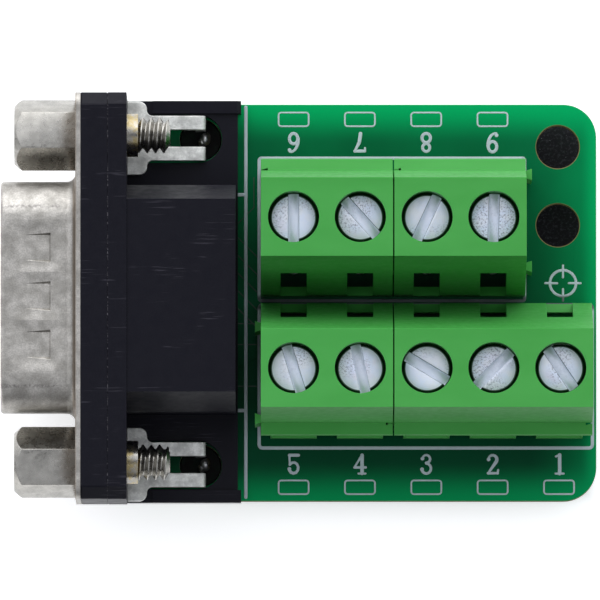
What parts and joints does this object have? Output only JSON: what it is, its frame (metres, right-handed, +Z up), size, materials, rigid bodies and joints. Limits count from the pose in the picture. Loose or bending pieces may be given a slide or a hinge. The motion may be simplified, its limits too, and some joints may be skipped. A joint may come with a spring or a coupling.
{
  "type": "d-sub terminal block adapter",
  "caption": "Male nine-way D connector on a small green board that breaks it out to two back-to-back rows of rising-clamp screw terminals.",
  "frame": {"origin": "under the middle of the adapter, level with the ends of the soldered tails", "axes": "+X from the connector's shell to the board's far end, +Y across the board towards poles 6 to 9, +Z up from the board to the terminal screws"},
  "size_m": [0.0454, 0.031, 0.0175],
  "materials": {
    "board": "green solder mask over glass-filled laminate",
    "nickel_shell": "bright nickel plating with a soft sheen",
    "black_plastic": "black glass-filled moulding, lightly scratched",
    "pin_metal": "gold-flashed contact pins",
    "nickel_screw": "polished nickel",
    "tinned_sheet": "tinned sheet",
    "green_plastic": "green moulded polyamide",
    "zinc_screw": "bluish zinc plating",
    "zinc_cage": "zinc-plated strip",
    "tinned_contact": "tinned brass strip",
    "solder": "bright solder"
  },
  "bodies": {
    "adapter": {"circuit_board": "board", "dsub_shell": "nickel_shell", "dsub_insulator": "black_plastic", "dsub_bracket": "black_plastic", "jack_socket_upper": "nickel_screw", "jack_socket_lower": "nickel_screw", "board_lock_upper": "tinned_sheet", "board_lock_lower": "tinned_sheet", "terminal_housing_6_7": "green_plastic", "terminal_housing_8_9": "green_plastic", "terminal_housing_1_3": "green_plastic", "terminal_housing_4_5": "green_plastic", "solder_joints": "solder", "dsub_pin_1": "pin_metal", "dsub_pin_2": "pin_metal", "dsub_pin_3": "pin_metal", "dsub_pin_4": "pin_metal", "dsub_pin_5": "pin_metal", "dsub_pin_6": "pin_metal", "dsub_pin_7": "pin_metal", "dsub_pin_8": "pin_metal", "dsub_pin_9": "pin_metal", "terminal_contact_1": "tinned_contact", "terminal_contact_2": "tinned_contact", "terminal_contact_3": "tinned_contact", "terminal_contact_4": "tinned_contact", "terminal_contact_5": "tinned_contact", "terminal_contact_6": "tinned_contact", "terminal_contact_7": "tinned_contact", "terminal_contact_8": "tinned_contact", "terminal_contact_9": "tinned_contact"},
    "screw_1": {"terminal_screw_1": "zinc_screw"},
    "clamp_1": {"clamp_cage_1": "zinc_cage"},
    "screw_2": {"terminal_screw_2": "zinc_screw"},
    "clamp_2": {"clamp_cage_2": "zinc_cage"},
    "screw_3": {"terminal_screw_3": "zinc_screw"},
    "clamp_3": {"clamp_cage_3": "zinc_cage"},
    "screw_4": {"terminal_screw_4": "zinc_screw"},
    "clamp_4": {"clamp_cage_4": "zinc_cage"},
    "screw_5": {"terminal_screw_5": "zinc_screw"},
    "clamp_5": {"clamp_cage_5": "zinc_cage"},
    "screw_6": {"terminal_screw_6": "zinc_screw"},
    "clamp_6": {"clamp_cage_6": "zinc_cage"},
    "screw_7": {"terminal_screw_7": "zinc_screw"},
    "clamp_7": {"clamp_cage_7": "zinc_cage"},
    "screw_8": {"terminal_screw_8": "zinc_screw"},
    "clamp_8": {"clamp_cage_8": "zinc_cage"},
    "screw_9": {"terminal_screw_9": "zinc_screw"},
    "clamp_9": {"clamp_cage_9": "zinc_cage"}
  },
  "joints": [
    {"name": "screw_1_turn", "type": "hinge", "parent": "adapter", "child": "screw_1", "pos_m": [0.01989, -0.0056, 0.0159], "axis": [0, 0, -1], "range_deg": [0, 2400]},
    {"name": "clamp_1_rise", "type": "slide", "parent": "adapter", "child": "clamp_1", "axis": [0, 0, 1], "range_m": [0, 0.003]},
    {"name": "screw_2_turn", "type": "hinge", "parent": "adapter", "child": "screw_2", "pos_m": [0.01481, -0.0056, 0.0159], "axis": [0, 0, -1], "range_deg": [0, 2400]},
    {"name": "clamp_2_rise", "type": "slide", "parent": "adapter", "child": "clamp_2", "axis": [0, 0, 1], "range_m": [0, 0.003]},
    {"name": "screw_3_turn", "type": "hinge", "parent": "adapter", "child": "screw_3", "pos_m": [0.00973, -0.0056, 0.0159], "axis": [0, 0, -1], "range_deg": [0, 2400]},
    {"name": "clamp_3_rise", "type": "slide", "parent": "adapter", "child": "clamp_3", "axis": [0, 0, 1], "range_m": [0, 0.003]},
    {"name": "screw_4_turn", "type": "hinge", "parent": "adapter", "child": "screw_4", "pos_m": [0.00465, -0.0056, 0.0159], "axis": [0, 0, -1], "range_deg": [0, 2400]},
    {"name": "clamp_4_rise", "type": "slide", "parent": "adapter", "child": "clamp_4", "axis": [0, 0, 1], "range_m": [0, 0.003]},
    {"name": "screw_5_turn", "type": "hinge", "parent": "adapter", "child": "screw_5", "pos_m": [-0.00043, -0.0056, 0.0159], "axis": [0, 0, -1], "range_deg": [0, 2400]},
    {"name": "clamp_5_rise", "type": "slide", "parent": "adapter", "child": "clamp_5", "axis": [0, 0, 1], "range_m": [0, 0.003]},
    {"name": "screw_6_turn", "type": "hinge", "parent": "adapter", "child": "screw_6", "pos_m": [-0.00043, 0.0059, 0.0159], "axis": [0, 0, -1], "range_deg": [0, 2400]},
    {"name": "clamp_6_rise", "type": "slide", "parent": "adapter", "child": "clamp_6", "axis": [0, 0, 1], "range_m": [0, 0.003]},
    {"name": "screw_7_turn", "type": "hinge", "parent": "adapter", "child": "screw_7", "pos_m": [0.00465, 0.0059, 0.0159], "axis": [0, 0, -1], "range_deg": [0, 2400]},
    {"name": "clamp_7_rise", "type": "slide", "parent": "adapter", "child": "clamp_7", "axis": [0, 0, 1], "range_m": [0, 0.003]},
    {"name": "screw_8_turn", "type": "hinge", "parent": "adapter", "child": "screw_8", "pos_m": [0.00973, 0.0059, 0.0159], "axis": [0, 0, -1], "range_deg": [0, 2400]},
    {"name": "clamp_8_rise", "type": "slide", "parent": "adapter", "child": "clamp_8", "axis": [0, 0, 1], "range_m": [0, 0.003]},
    {"name": "screw_9_turn", "type": "hinge", "parent": "adapter", "child": "screw_9", "pos_m": [0.01481, 0.0059, 0.0159], "axis": [0, 0, -1], "range_deg": [0, 2400]},
    {"name": "clamp_9_rise", "type": "slide", "parent": "adapter", "child": "clamp_9", "axis": [0, 0, 1], "range_m": [0, 0.003]}
  ],
  "couplings": [
    {"joint": "screw_1_turn", "follows": "clamp_1_rise", "rad_per_m": 13963},
    {"joint": "screw_2_turn", "follows": "clamp_2_rise", "rad_per_m": 13963},
    {"joint": "screw_3_turn", "follows": "clamp_3_rise", "rad_per_m": 13963},
    {"joint": "screw_4_turn", "follows": "clamp_4_rise", "rad_per_m": 13963},
    {"joint": "screw_5_turn", "follows": "clamp_5_rise", "rad_per_m": 13963},
    {"joint": "screw_6_turn", "follows": "clamp_6_rise", "rad_per_m": 13963},
    {"joint": "screw_7_turn", "follows": "clamp_7_rise", "rad_per_m": 13963},
    {"joint": "screw_8_turn", "follows": "clamp_8_rise", "rad_per_m": 13963},
    {"joint": "screw_9_turn", "follows": "clamp_9_rise", "rad_per_m": 13963}
  ]
}
